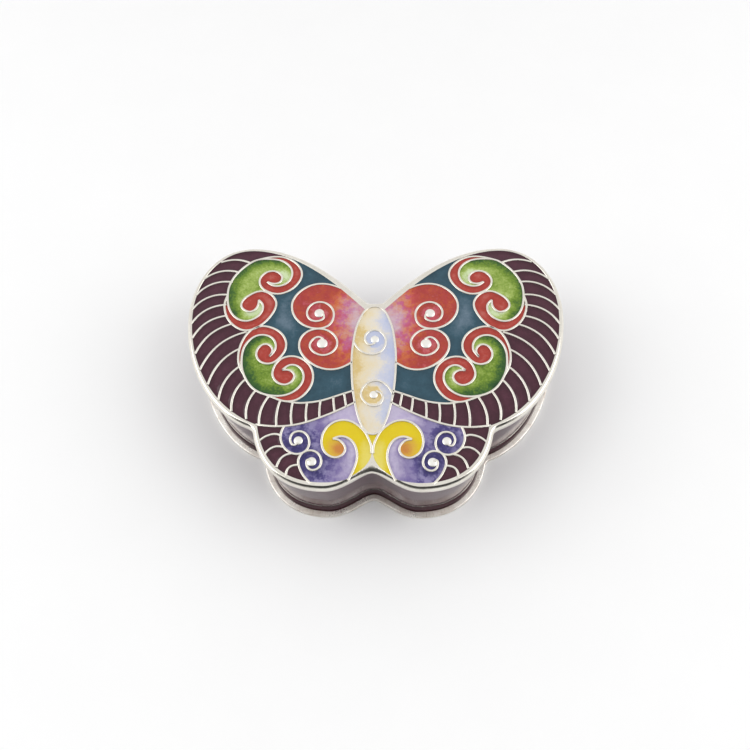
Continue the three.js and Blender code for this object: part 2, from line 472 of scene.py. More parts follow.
# The rim's flat top ends along this line; it draws a sharper notch than the wall below it.
FLAT_CURVES = WALL_CURVES[:-1] + [((9.2, -26.6), (5.5, -26.6), (1.9, -22.9), (0, -22.2))]


def side_reach(height):
    """How far the leaning side stands outside the wall's outline at a height."""
    share = (height - LID_BOTTOM) / (RIM_LOW - LID_BOTTOM)
    return -LID_SIDE_BOTTOM_INSET + (LID_SIDE_TOP_REACH + LID_SIDE_BOTTOM_INSET) * share


well = LID_TOP - ENAMEL - GAP
underside = well - LID_TOP_THICKNESS
lip_top = LID_BOTTOM + LID_LIP
inner_reach = [side_reach(height) - ENAMEL - LID_WALL for height in (LID_BOTTOM, underside)]
flat_edge = moved_out(whole_outline(FLAT_CURVES), RIM_FLAT)
lid_rings = [
    (FIELD, well),
    (FIELD, LID_TOP + FIELD_LIP),
    (FIELD + (flat_edge - FIELD) * 0.3, LID_TOP + RIM_CROWN * 0.8),
    (FIELD + (flat_edge - FIELD) * 0.65, LID_TOP + RIM_CROWN),
    (flat_edge, FLAT_HEIGHT),
]
shoulder_outer = moved_out(WALL, RIM_REACH)
shoulder = quarter_turn(0, FLAT_HEIGHT, 1, LID_TOP - RIM_SHOULDER,
                        steps=12, out_first=True, fullness=1.25)
for share, height in shoulder:
    lid_rings.append((flat_edge + (shoulder_outer - flat_edge) * share, height))
rim_foot = [(RIM_REACH, RIM_LOW + RIM_LOW_ROUND)]
rim_foot += quarter_turn(RIM_REACH, RIM_LOW + RIM_LOW_ROUND, RIM_REACH - RIM_LOW_ROUND, RIM_LOW,
                         steps=4, out_first=False)
lid_rings += [wall_ring(reach, height) for reach, height in rim_foot]
lid_rings += [
    wall_ring(side_reach(RIM_LOW) - ENAMEL, RIM_LOW),
    wall_ring(side_reach(lip_top) - ENAMEL, lip_top),
    wall_ring(side_reach(lip_top) + LIP_PROUD - LIP_ROUND, lip_top),
    wall_ring(side_reach(lip_top) + LIP_PROUD, lip_top - LIP_ROUND),
    wall_ring(side_reach(LID_BOTTOM) + LIP_PROUD, LID_BOTTOM + LIP_ROUND),
    wall_ring(side_reach(LID_BOTTOM) + LIP_PROUD - LIP_ROUND, LID_BOTTOM),
    wall_ring(inner_reach[0], LID_BOTTOM),
    wall_ring(inner_reach[1], underside),
]
lid_shell = shell_of_rings("lid_shell", lid_rings)
rim_silver = silver_material("polished rim silver", (240, 236, 226), (196, 188, 176),
                             dullness=0.25, polish=0.09, scratches=0.2, unevenness=0.00004)
finished(lid_shell, rim_silver, "lid_metal", "lid")

# ---- Enamel on the lid's side --------------------------------------------------------------------
# A smooth coat of plum glass fired round the lid's side, from under the rim down to the bare lip.
# It lies in the sheet's shallow recess and leans in slightly towards the tray.

SIDE_STEPS = 10
SIDE_FULLNESS = 0.06                # how far the coat swells at half height

side_high = RIM_LOW - GAP
side_low = lip_top + GAP
side_rings = [wall_ring(side_reach(side_high) - ENAMEL + GAP, side_high)]
for step in range(SIDE_STEPS + 1):
    height = side_high + (side_low - side_high) * step / SIDE_STEPS
    swell = SIDE_FULLNESS * math.sin(math.pi * step / SIDE_STEPS)
    side_rings.append(wall_ring(side_reach(height) - SIDE_FULLNESS + swell, height))
side_rings.append(wall_ring(side_reach(side_low) - ENAMEL + GAP, side_low))
lid_side = shell_of_rings("lid_side_glass", side_rings, closed_round=True)
side_glass = glass_material("plum side glass", [(0.2, (58, 14, 34)), (0.8, (80, 34, 56))],
                            clouds=0.6, grain=0.2, waviness=0.00003, roughness=0.1)
finished(lid_side, side_glass, "plum_enamel", "lid_side_enamel")

# ---- Wires of the picture ------------------------------------------------------------------------
# Flat silver wire bent by hand into scrolls, stripes and outlines and soldered on edge to the
# lid's field, so that it fences in the enamel. Every wire of a wing has its twin on the other wing.

TOP_RISE = 0.8                      # how far the field's middle stands above its edge
RISE_REACH = 10.0                   # distance from the edge over which it rises
WIRE_WIDTH = 0.4
WIRE_HEIGHT = 0.46
WIRE_ROUNDING = 0.11
WIRE_LIFT = -0.06                   # a wire's middle, measured from the field's surface
WIRE_STEP = 0.24
STEPS_PER_KNOT = 24

# One wing's wires, as the points each is bent through: millimetres out from the middle, and up.
SCROLL_WIRES = {
    "upper_back": [
        (22.9, 18.1), (21.4, 17.1), (19.5, 17.35), (18.1, 18.8), (17.8, 20.6), (18.6, 22.6),
        (20.5, 23.95), (22.9, 24.3), (25.6, 24.0), (28.1, 22.2), (30.0, 19.7), (30.95, 17.2),
        (31.05, 14.5), (30.5, 11.7), (29.0, 9.4), (26.7, 8.4), (24.6, 9.2), (23.4, 11.0),
        (23.5, 12.5), (24.35, 13.5)],
    "upper_top_curl": [
        (25.3, 24.1), (22.6, 24.9), (20.3, 24.95), (18.0, 24.0), (16.3, 22.2), (15.7, 20.0),
        (16.4, 17.8), (18.1, 15.9), (20.4, 15.05), (22.4, 15.5), (24.0, 16.7), (24.6, 18.3),
        (24.0, 20.0), (22.4, 20.95), (20.8, 20.65), (19.85, 19.3), (20.3, 18.0), (21.6, 17.65),
        (22.9, 18.1)],
    "upper_low_curl": [
        (31.05, 14.8), (31.5, 12.8), (31.25, 10.9), (30.4, 8.9), (28.6, 7.0), (26.6, 6.15),
        (24.4, 6.7), (22.4, 8.4), (21.0, 10.7), (20.6, 12.6), (21.3, 14.3), (22.9, 15.5),
        (24.3, 15.7), (26.3, 14.8), (27.7, 13.4), (27.9, 12.0), (26.9, 10.9), (25.8, 10.65),
        (24.7, 11.5), (24.35, 12.6), (24.35, 13.5)],
    "lower_back": [
        (21.1, 0.1), (20.15, 1.4), (20.0, 2.7), (20.8, 4.3), (22.2, 5.0), (23.8, 4.95), (25.4, 3.9),
        (26.5, 1.9), (26.7, -0.2), (26.4, -2.7), (25.6, -4.7), (24.1, -6.8), (22.1, -8.1),
        (19.6, -8.7), (17.1, -8.5), (15.1, -7.25), (14.0, -5.3), (14.1, -3.5), (15.2, -2.15),
        (16.8, -1.9), (18.25, -3.0)],
    "lower_top_curl": [
        (26.0, -3.9), (26.9, -2.3), (27.4, -0.3), (27.3, 2.2), (26.5, 4.6), (25.2, 6.3), (23.3, 7.1),
        (21.2, 6.8), (19.2, 5.6), (18.0, 3.6), (18.0, 1.6), (19.0, -0.2), (20.4, -1.4), (22.0, -1.5),
        (23.4, -0.5), (23.8, 1.0), (23.1, 2.5), (21.8, 2.9), (20.75, 2.1), (20.65, 1.0), (21.1, 0.1)],
    "lower_low_curl": [
        (21.6, -8.25), (19.5, -9.15), (17.1, -9.9), (15.0, -9.55), (13.3, -8.1), (12.2, -6.0),
        (12.1, -3.7), (13.0, -1.7), (14.8, -0.3), (16.9, 0.1), (18.9, -0.7), (20.0, -2.4),
        (20.1, -4.3), (19.0, -5.8), (17.4, -6.25), (15.95, -5.1), (15.9, -3.8), (16.9, -3.05),
        (18.25, -3.0)],
}
SHOULDER_WIRES = {
    "shoulder_upper_spiral": [
        (7.2, 16.95), (9.5, 17.75), (12.4, 17.75), (15.5, 16.0), (17.2, 13.1), (16.8, 10.0),
        (14.8, 7.6), (12.0, 6.6), (9.5, 7.3), (8.45, 9.7), (9.3, 12.2), (11.4, 13.1), (13.2, 12.4),
        (14.05, 10.5), (13.4, 8.9), (12.0, 8.35), (10.5, 9.2), (10.8, 10.5)],
    "shoulder_lower_spiral": [
        (4.32, -1.16), (6.9, -2.6), (10.0, -2.7), (13.1, -1.0), (15.1, 1.9), (14.8, 4.7),
        (13.0, 6.2), (10.9, 6.5), (8.7, 5.6), (7.5, 3.6), (8.0, 1.6), (9.9, 0.4), (11.8, 0.85),
        (13.05, 2.6), (12.6, 3.9), (11.3, 4.6), (10.3, 4.1)],
}
STRIPE_FRAME_WIRES = {
    "stripes_inner": [
        (16.8, -9.9), (14.9, -10.25), (12.9, -10.2), (10.0, -9.7), (7.0, -8.65), (3.9, -7.55)],
    "wing_foot": [
        (22.8, -14.5), (20.6, -14.9), (17.3, -15.1), (14.0, -14.65), (10.7, -13.55), (7.3, -12.05),
        (3.4, -10.0)],
}
HINDWING_WIRES = {
    "outer_spiral": [
        (17.1, -15.1), (17.6, -16.4), (17.55, -17.9), (16.6, -19.7), (14.3, -20.8), (12.6, -20.1),
        (12.05, -18.3), (12.7, -16.8), (14.15, -16.2), (15.4, -16.7), (15.75, -17.9), (15.0, -19.0),
        (14.2, -18.5)],
    "lower_spiral": [
        (11.5, -26.4), (12.65, -25.2), (13.65, -23.5), (13.95, -21.9), (13.35, -20.7),
        (11.95, -20.1), (10.35, -20.6), (9.6, -22.2), (10.2, -23.6), (11.4, -23.9), (12.3, -23.0),
        (12.2, -21.9), (11.5, -22.2)],
    "hook_outer": [
        (0.2, -20.4), (0.22, -19.0), (0.68, -17.7), (1.35, -16.4), (2.4, -15.25), (4.0, -14.2),
        (5.8, -13.85), (7.8, -14.5), (9.3, -16.2), (9.7, -18.3), (8.9, -20.5), (7.0, -21.45),
        (5.5, -20.7), (5.15, -19.5), (5.7, -18.5), (6.55, -17.9), (7.55, -17.75)],
    "hook_inner": [
        (4.45, -25.8), (3.55, -23.9), (3.05, -22.4), (2.85, -21.1), (3.0, -19.8), (3.5, -18.6),
        (4.4, -17.7), (5.55, -17.25), (6.7, -17.35), (7.55, -17.75)],
    "cell_1": [(21.9, -18.0), (20.6, -17.1), (19.5, -16.75), (18.5, -16.7), (17.6, -17.0)],
    "cell_2": [(20.6, -20.7), (19.6, -19.7), (18.8, -19.3), (17.8, -19.2), (16.9, -19.4)],
    "cell_3": [(18.1, -23.3), (17.65, -22.1), (17.0, -21.3), (16.0, -20.8), (15.0, -20.6)],
    "cell_4": [(16.1, -25.3), (16.1, -24.1), (15.5, -23.3), (14.8, -23.0), (13.8, -22.9)],
}
# Stripes of the forewing: outer end, inner end, and how far each bows towards the head.
STRIPES = [
    ((33.5, 23.6), (27.0, 23.2), 0.11), ((36.8, 19.3), (29.3, 20.7), 0.14),
    ((38.0, 15.3), (30.3, 18.1), 0.15), ((38.5, 11.6), (31.0, 14.9), 0.15),
    ((38.2, 8.2), (31.1, 12.4), 0.14), ((37.6, 4.7), (30.8, 9.7), 0.14),
    ((36.5, 1.1), (29.4, 7.7), 0.13), ((35.1, -2.6), (26.2, 5.8), 0.13),
    ((33.1, -5.9), (27.2, 1.9), 0.12), ((30.6, -9.4), (27.0, -2.2), 0.12),
    ((27.8, -11.7), (25.5, -5.0), 0.13), ((24.7, -13.4), (23.2, -7.4), 0.12),
    ((22.1, -14.7), (20.5, -8.7), 0.1), ((18.6, -15.1), (18.2, -9.6), 0.06),
    ((15.6, -14.95), (15.75, -10.1), 0.05), ((12.8, -14.35), (12.9, -10.2), 0.04),
    ((10.3, -13.4), (10.3, -9.8), 0.03), ((7.4, -12.1), (7.8, -8.95), 0.02),
    ((5.2, -11.0), (5.7, -8.2), 0.0)
]
BODY_HALF_WIRE = [
    (0, 12.45), (0.95, 12.25), (1.75, 11.7), (2.35, 10.75), (2.95, 9.3), (3.6, 7.3), (4.1, 4.4),
    (4.42, 1.0), (4.4, -2.5), (4.05, -7.0), (3.4, -10.8), (2.5, -14.0), (1.65, -15.65),
    (0.9, -16.4), (0, -16.65)
]
BODY_WIRES = {
    "body_upper_spiral": [
        (-4.1, 3.4), (-3.2, 1.95), (-0.9, 0.65), (1.25, 1.15), (2.35, 3.1), (1.95, 5.2), (0.1, 6.35),
        (-1.5, 5.55), (-1.8, 3.9), (-0.8, 2.8), (0.2, 3.3)],
    "body_lower_spiral": [
        (4.0, -8.5), (2.7, -6.35), (0.6, -5.3), (-1.55, -6.2), (-2.4, -8.2), (-1.6, -9.95),
        (0.35, -10.8), (1.7, -9.8), (1.65, -8.2), (0.5, -7.6)],
}


def bent_through(knots, closed=False):
    """A springy wire through the given points: a natural cubic through them at equal steps."""
    knots = np.array(knots, float)
    if closed:
        knots = np.vstack([knots, knots[:1]])
    gaps = np.linalg.norm(np.diff(knots, axis=0), axis=1)
    count = len(knots)
    system = np.eye(count)
    target = np.zeros((count, 2))
    for i in range(1, count - 1):
        before, after = gaps[i - 1], gaps[i]
        system[i, i - 1:i + 2] = before, 2 * (before + after), after
        target[i] = 6 * ((knots[i + 1] - knots[i]) / after - (knots[i] - knots[i - 1]) / before)
    if closed:
        first, last = gaps[0], gaps[-1]
        system[0, :] = 0
        system[0, [0, 1, -2]] = 2 * (first + last), first, last
        target[0] = 6 * ((knots[1] - knots[0]) / first - (knots[0] - knots[-2]) / last)
        system[-1, :] = 0
        system[-1, 0], system[-1, -1] = 1, -1
    curving = np.linalg.solve(system, target)
    dense = []
    for i, gap in enumerate(gaps):
        there = np.linspace(0, gap, STEPS_PER_KNOT, endpoint=False)[:, None]
        back = gap - there
        dense.append((curving[i] * back ** 3 + curving[i + 1] * there ** 3) / (6 * gap)
                     + (knots[i] / gap - curving[i] * gap / 6) * back
                     + (knots[i + 1] / gap - curving[i + 1] * gap / 6) * there)
    dense = np.vstack(dense + [knots[-1:]])
    length = np.linalg.norm(np.diff(dense, axis=0), axis=1).sum()
    return evenly_spaced(dense, max(2, round(length / WIRE_STEP)))


def bowed(start, end, bow):
    """A stripe wire: a shallow bow between two points, curved towards the head."""
    start, end = np.array(start), np.array(end)
    side = np.array([end[1] - start[1], start[0] - end[0]])
    side = side if side[0] * 0.5 + side[1] > 0 else -side
    t = np.linspace(0, 1, 30)[:, None]
    path = start + (end - start) * t + side * bow * 4 * t * (1 - t)
    length = np.linalg.norm(end - start)
    return evenly_spaced(path, max(4, round(length / WIRE_STEP)))


def on_both_wings(paths):
    return [path * side for path in paths for side in ((1, 1), (-1, 1))]


EDGE_SAMPLES = 900
POINTS_AT_ONCE = 3000               # keeps each table of distances small
closed_field = np.vstack([FIELD, FIELD[:1]])
edge_samples = evenly_spaced(closed_field, EDGE_SAMPLES)[:-1]
edge_loop = np.vstack([edge_samples, edge_samples[:1]])
edge_spacing = np.linalg.norm(np.diff(edge_loop, axis=0), axis=1).mean()


def field_height(points):
    """Height of the cushioned field: a rise that grows with a softened distance from its edge."""
    heights = []
    for part in np.array_split(np.asarray(points), max(1, len(points) // POINTS_AT_ONCE)):
        squares = ((part[:, None] - edge_samples[None]) ** 2).sum(axis=2) + 1e-4
        distance = np.sqrt(2 / (edge_spacing * (squares ** -1.5).sum(axis=1)))
        share = 1 - np.clip(distance / RISE_REACH, 0, 1)
        heights.append(LID_TOP + TOP_RISE * (1 - share ** 2))
    return np.concatenate(heights)


def new_tree(name, source, sizes, result):
    """A geometry tree with named inputs: what it works on, its sizes and its silver."""
    tree = bpy.data.node_groups.new(name, "GeometryNodeTree")
    tree.interface.new_socket(name=source, in_out="INPUT", socket_type="NodeSocketGeometry")
    for label, value in sizes:
        socket = tree.interface.new_socket(name=label, in_out="INPUT", socket_type="NodeSocketFloat")
        socket.default_value = value
    tree.interface.new_socket(name="Silver", in_out="INPUT", socket_type="NodeSocketMaterial")
    tree.interface.new_socket(name=result, in_out="OUTPUT", socket_type="NodeSocketGeometry")
    return tree, tree.nodes.new("NodeGroupInput"), tree.nodes.new("NodeGroupOutput")


def finished_in_silver(tree, geometry, start, end):
    """Makes a tree's geometry real and gives it its silver."""
    realize = tree.nodes.new("GeometryNodeRealizeInstances")
    coat = tree.nodes.new("GeometryNodeSetMaterial")
    tree.links.new(geometry, realize.inputs["Geometry"])
    tree.links.new(realize.outputs["Geometry"], coat.inputs["Geometry"])
    tree.links.new(start.outputs["Silver"], coat.inputs["Material"])
    tree.links.new(coat.outputs["Geometry"], end.inputs[0])
    return tree


def wire_tree():
    """Geometry nodes: a rounded flat wire swept along every path, standing upright."""
    tree, start, end = new_tree(
        "wire along its path", "Paths",
        [("Width", 0.4 * MM), ("Height", 0.4 * MM), ("Rounding", 0.1 * MM)], "Wires")
    to_curve = tree.nodes.new("GeometryNodeMeshToCurve")
    upright = tree.nodes.new("GeometryNodeSetCurveNormal")
    upright.mode = "Z_UP"
    profile = tree.nodes.new("GeometryNodeCurvePrimitiveQuadrilateral")
    rounding = tree.nodes.new("GeometryNodeFilletCurve")
    rounding.mode = "POLY"
    rounding.inputs["Count"].default_value = 3
    sweep = tree.nodes.new("GeometryNodeCurveToMesh")
    sweep.inputs["Fill Caps"].default_value = True
    smooth = tree.nodes.new("GeometryNodeSetShadeSmooth")
    for a, b in ((start.outputs["Paths"], to_curve.inputs["Mesh"]),
                 (to_curve.outputs["Curve"], upright.inputs["Curve"]),
                 (upright.outputs["Curve"], sweep.inputs["Curve"]),
                 (start.outputs["Height"], profile.inputs["Width"]),
                 (start.outputs["Width"], profile.inputs["Height"]),
                 (profile.outputs["Curve"], rounding.inputs["Curve"]),
                 (start.outputs["Rounding"], rounding.inputs["Radius"]),
                 (rounding.outputs["Curve"], sweep.inputs["Profile Curve"]),
                 (sweep.outputs["Mesh"], smooth.inputs["Geometry"])):
        tree.links.new(a, b)
    return finished_in_silver(tree, smooth.outputs["Geometry"], start, end)


def made_by_nodes(name, source, tree, values):
    """Runs a geometry tree on a source object and keeps the result as a plain mesh piece."""
    modifier = source.modifiers.new("make", "NODES")
    modifier.node_group = tree
    for item in tree.interface.items_tree:
        if item.in_out == "INPUT" and item.name in values:
            modifier[item.identifier] = values[item.name]
    bpy.context.view_layer.update()
    evaluated = source.evaluated_get(bpy.context.evaluated_depsgraph_get())
    mesh = bpy.data.meshes.new_from_object(evaluated)
    mesh.name = name
    source.modifiers.remove(modifier)
    bpy.data.objects.remove(source)
    piece = bpy.data.objects.new(name, mesh)
    bpy.context.scene.collection.objects.link(piece)
    return piece


WIRE_TREE = wire_tree()
wire_silver = silver_material("wire silver", (244, 240, 230), (204, 194, 180),
                              dullness=0.3, polish=0.14, scratches=0.15, unevenness=0.00003)


def swept_wires(name, paths):
    """One piece of wires of a like kind, laid on the field along paths."""
    points, edges = [], []
    for path in paths:
        first = len(points)
        points.extend(np.column_stack([path, field_height(path) + WIRE_LIFT]) * MM)
        edges.extend((i, i + 1) for i in range(first, len(points) - 1))
    mesh = bpy.data.meshes.new(name + "_paths")
    mesh.from_pydata([tuple(p) for p in points], edges, [])
    source = bpy.data.objects.new(name + "_paths", mesh)
    bpy.context.scene.collection.objects.link(source)
    sizes = {"Width": WIRE_WIDTH * MM, "Height": WIRE_HEIGHT * MM, "Rounding": WIRE_ROUNDING * MM}
    piece = made_by_nodes(name, source, WIRE_TREE, {**sizes, "Silver": wire_silver})
    finished(piece, wire_silver, "lid_metal")


scroll_paths = {name: bent_through(knots) for name, knots in SCROLL_WIRES.items()}
stripe_paths = [bent_through(knots) for knots in STRIPE_FRAME_WIRES.values()]
stripe_paths += [bowed(start, end, bow) for start, end, bow in STRIPES]
left_half_of_body = [(-x, y) for x, y in BODY_HALF_WIRE[-2:0:-1]]
body_outline = bent_through(BODY_HALF_WIRE + left_half_of_body, closed=True)
wire_paths = {
    "scroll_wires": on_both_wings(scroll_paths.values()),
    "shoulder_wires": on_both_wings([bent_through(knots) for knots in SHOULDER_WIRES.values()]),
    "stripe_wires": on_both_wings(stripe_paths),
    "hindwing_wires": on_both_wings([bent_through(knots) for knots in HINDWING_WIRES.values()]),
    "body_wires": [body_outline] + [bent_through(knots) for knots in BODY_WIRES.values()],
}
for name, paths in wire_paths.items():
    swept_wires(name, paths)

# ---- Enamel cells of the picture -----------------------------------------------------------------
# Powdered coloured glass melted between the wires in many small pools. Each pool climbs a little
# up the wires round it and sinks in its middle, and its colour is shaded by mixed grains.

CELL_STEP = 0.36                    # spacing of the points that a pool's surface is drawn with
EDGE_ROW = 0.26                     # and of the row beside every wire
ROW_CLEARANCE = EDGE_ROW * 0.9
GRID_CLEARANCE = EDGE_ROW * 1.45
GRID_HALF_WIDTH = 39.0
GRID_HALF_DEPTH = 27.5
SINK = 0.13                         # how far a pool's middle lies below its wires' feet
SINK_REACH = 1.0
POOL_FLOOR = LID_TOP - ENAMEL - GAP + 0.05   # just clear of the lid's sunk field
JOIN_REACH = 0.8                    # a wire's end this near to another wire closes the gap
TOUCH = 0.42                        # and wires this near touch
SLIVER = 0.12                       # a pool with no corner this far from a wire is all wire

# A point inside each pool; the pools without one are the plum stripes.
ONE_WING_POOLS = {
    "teal": [(19.0, 11.5), (8.0, -6.0)],
    "green": [(27.5, 18.0), (24.0, -3.0)],
    "red": [(16.8, 20.5), (25.0, 7.4), (18.9, 3.0), (13.0, -5.0)],
    "rose": [(6.5, 12.0)],
    "violet": [(6.0, -13.0)],
    "yellow": [(5.0, -15.3)],
}
MIDDLE_POOLS = {"body": [(0.0, -2.0)], "yellow": [(0.0, -17.1)]}


def points_inside(points, outline):
    """Even-odd test of many points against a closed outline."""
    inside = np.zeros(len(points), bool)
    ends = np.roll(outline, -1, axis=0)
    for (x1, y1), (x2, y2) in zip(outline, ends):
        if y1 == y2:
            continue
        crosses = (points[:, 1] > min(y1, y2)) & (points[:, 1] <= max(y1, y2))
        inside ^= crosses & (points[:, 0] < x1 + (points[:, 1] - y1) * (x2 - x1) / (y2 - y1))
    return inside


def rows_beside(fences):
    """Points beside each fence, on both sides."""
    rows = []
    for fence in fences:
        along = np.gradient(fence, axis=0)
        along /= np.linalg.norm(along, axis=1)[:, None] + 1e-9
        across = np.stack([-along[:, 1], along[:, 0]], axis=1) * EDGE_ROW
        rows.extend([fence + across, fence - across])
    return np.vstack(rows)


def grid_between():
    """A triangular grid over the whole field."""
    columns = np.arange(-GRID_HALF_WIDTH, GRID_HALF_WIDTH, CELL_STEP)
    lines = np.arange(-GRID_HALF_DEPTH, GRID_HALF_DEPTH, CELL_STEP * math.sqrt(3) / 2)
    return np.array([(x + CELL_STEP / 2 * (k % 2), y) for k, y in enumerate(lines) for x in columns])


def fence_joints(points, ends):
    """Edges that close the fences: from each wire's end to what it meets, and where wires touch."""
    joints = []
    for first, last in ends[1:]:
        for end in (first, last):
            gaps = np.linalg.norm(points - points[end], axis=1)
            gaps[first:last + 1] = np.inf
            if gaps.min() < JOIN_REACH:
                joints.append((end, int(gaps.argmin())))
    for k, (first, last) in enumerate(ends):
        these = points[first:last + 1, None]
        for other_first, other_last in ends[k + 1:]:
            others = points[None, other_first:other_last + 1]
            gaps = np.linalg.norm(these - others, axis=2)
            for i, j in zip(*np.nonzero(gaps < TOUCH)):
                joints.append((first + int(i), other_first + int(j)))
    return joints


def triangulated_field():
    """The whole field in triangles, with the wires and the field's edge as fences."""
    fences = [closed_field] + [path for paths in wire_paths.values() for path in paths]
    points, edges, ends = [], [], []
    for fence in fences:
        first = len(points)
        points.extend(map(tuple, fence))
        edges.extend((i, i + 1) for i in range(first, len(points) - 1))
        ends.append((first, len(points) - 1))
    edges += fence_joints(np.array(points), ends)
    near = kdtree.KDTree(len(points))
    for i, (x, y) in enumerate(points):
        near.insert((x, y, 0), i)
    near.balance()
    kept = []
    for candidates, clearance in ((rows_beside(fences), ROW_CLEARANCE), (grid_between(), GRID_CLEARANCE)):
        for x, y in candidates[points_inside(candidates, FIELD)]:
            if near.find((x, y, 0))[2] > clearance:
                kept.append((x, y))
    return delaunay_2d_cdt([Vector(p) for p in points + kept], edges, [], 0, 1e-5, True), near


triangulation, fence_tree = triangulated_field()
cdt_points, cdt_edges, cdt_faces, _, fence_marks, _ = triangulation
flat_points = np.array([tuple(p) for p in cdt_points])
cdt_faces = [tuple(face) for face in cdt_faces]
centres = np.array([flat_points[list(face)].mean(axis=0) for face in cdt_faces])
fenced = {tuple(sorted(edge)) for edge, marks in zip(cdt_edges, fence_marks) if marks}

# Pools are the groups of triangles that no fence parts.
edge_owner, neighbours = {}, [[] for _ in cdt_faces]
for index, face in enumerate(cdt_faces):
    for a, b in zip(face, face[1:] + face[:1]):
        key = (min(a, b), max(a, b))
        if key in fenced:
            continue
        if key in edge_owner:
            neighbours[index].append(edge_owner[key])
            neighbours[edge_owner[key]].append(index)
        else:
            edge_owner[key] = index
pool_of = [-1] * len(cdt_faces)
pools = []
for start_face in range(len(cdt_faces)):
    if pool_of[start_face] >= 0:
        continue
    pool_of[start_face] = len(pools)
    members, waiting = [], [start_face]
    while waiting:
        current = waiting.pop()
        members.append(current)
        for other in neighbours[current]:
            if pool_of[other] < 0:
                pool_of[other] = len(pools)
                waiting.append(other)
    pools.append(members)

glass_of_pool = {}
seeds = [(glass, (x * side, y))
         for glass, spots in ONE_WING_POOLS.items() for x, y in spots for side in (1, -1)]
seeds += [(glass, spot) for glass, spots in MIDDLE_POOLS.items() for spot in spots]
for glass, spot in seeds:
    closest = int(((centres - spot) ** 2).sum(axis=1).argmin())
    glass_of_pool[pool_of[closest]] = glass

wire_distance = np.array([fence_tree.find((x, y, 0))[2] for x, y in flat_points])
dip = SINK * (1 - (1 - np.clip(wire_distance / SINK_REACH, 0, 1)) ** 2)
pool_tops = field_height(flat_points) - dip
inside_field = points_inside(centres, FIELD)
faces_of_glass = {glass: [] for glass in {"plum": None, **ONE_WING_POOLS, **MIDDLE_POOLS}}
for pool, members in enumerate(pools):
    corners = {corner for member in members for corner in cdt_faces[member]}
    if not inside_field[members[0]] or max(wire_distance[list(corners)]) < SLIVER:
        continue
    faces_of_glass[glass_of_pool.get(pool, "plum")].extend(members)


def pool_piece(glass):
    """The pools of one glass, closed from their wavy tops down to the lid's sunk field; with each
    corner's place seen from above and its distance from the nearest wire."""
    faces = [cdt_faces[index] for index in faces_of_glass[glass]]
    used = sorted({corner for face in faces for corner in face})
    place = {corner: k for k, corner in enumerate(used)}
    plan = flat_points[used]
    top = np.column_stack([plan, pool_tops[used]])
    bottom = np.column_stack([plan, np.full(len(used), POOL_FLOOR)])
    faces = [tuple(place[corner] for corner in face) for face in faces]
    down = len(used)
    directed = {(a, b) for face in faces for a, b in zip(face, face[1:] + face[:1])}
    walls = [(b, a, a + down, b + down) for a, b in directed if (b, a) not in directed]
    floor = [tuple(corner + down for corner in reversed(face)) for face in faces]
    piece = plain_mesh(glass + "_glass", np.vstack([top, bottom]), faces + sorted(walls) + floor,
                       sharp_degrees=50)
    return piece, np.vstack([plan, plan]), np.concatenate([wire_distance[used]] * 2)


def laid(piece, tone, glass, *nodes):
    """Gives a colour's pools the tone of each corner and their glass."""
    layer = piece.data.attributes.new("tone", "FLOAT", "POINT")
    layer.data.foreach_set("value", np.clip(tone, 0, 1).astype(np.float32))
    finished(piece, glass, "picture_enamel", *nodes)


def distance_to(plan, *spots):
    """Distance of each corner from the nearest of the spots, which lie on both wings."""
    return np.min([np.hypot(np.abs(plan[:, 0]) - x, plan[:, 1] - y) for x, y in spots], axis=0)


# Plum stripes along the wings' edges, darkest beside the wires.
plum_piece, plan, from_wire = pool_piece("plum")
plum_glass = glass_material(
    "plum glass", [(0.1, (46, 10, 24)), (0.5, (64, 20, 38)), (0.9, (84, 38, 56))],
    clouds=0.7, grain=0.45, waviness=0.00008, shaded=True)
laid(plum_piece, 0.35 + 0.3 * np.clip(from_wire / 1.2, 0, 1), plum_glass, "lid_top_enamel")

# Teal ground of the forewings, lighter and greyer in its middle: a painted reflection of hazy light on
# the glass.
teal_piece, plan, from_wire = pool_piece("teal")
# painted reflection: a pale grey patch between the scrolls, towards the ramp's lightest teal
painted_reflection = np.exp(-((np.abs(plan[:, 0]) - 18) / 3.0) ** 2 - ((plan[:, 1] - 10) / 5.5) ** 2)
teal_glass = glass_material(
    "teal glass", [(0.1, (24, 58, 72)), (0.5, (44, 80, 96)), (1.0, (104, 124, 140))],
    clouds=0.7, grain=0.45, waviness=0.00014, shaded=True)
laid(teal_piece, 0.22 + 0.25 * np.clip(from_wire / 2.2, 0, 1) + 0.4 * painted_reflection, teal_glass)

# Green crescents: dark along the scroll's back, grassy in the middle, pale in the two hooks.
BETWEEN_CRESCENTS = 6.5
HOOK_TIPS = [(20.3, 19.6), (25.2, 11.3), (21.9, 1.4), (17.0, -4.4)]
green_piece, plan, from_wire = pool_piece("green")
right_plan = np.column_stack([np.abs(plan[:, 0]), plan[:, 1]])
is_upper = plan[:, 1] > BETWEEN_CRESCENTS
from_back = np.zeros(len(plan))
for name, is_here in (("upper_back", is_upper), ("lower_back", ~is_upper)):
    gaps = np.linalg.norm(right_plan[is_here][:, None] - scroll_paths[name][None], axis=2)
    from_back[is_here] = gaps.min(axis=1)
in_hooks = np.minimum(1.3 - distance_to(plan, *HOOK_TIPS) / 3.2, 0.9)
tone = np.maximum(np.minimum(from_back / 5.0, 0.5), in_hooks) + np.where(is_upper, 0.14, -0.02)
green_glass = glass_material(
    "green glass", [(0.0, (14, 62, 24)), (0.22, (50, 92, 26)), (0.48, (112, 142, 34)),
                    (0.75, (164, 186, 94)), (1.0, (206, 222, 176))],
    clouds=0.7, grain=0.75, waviness=0.0001, shaded=True)
laid(green_piece, 0.06 + tone * 0.92, green_glass)
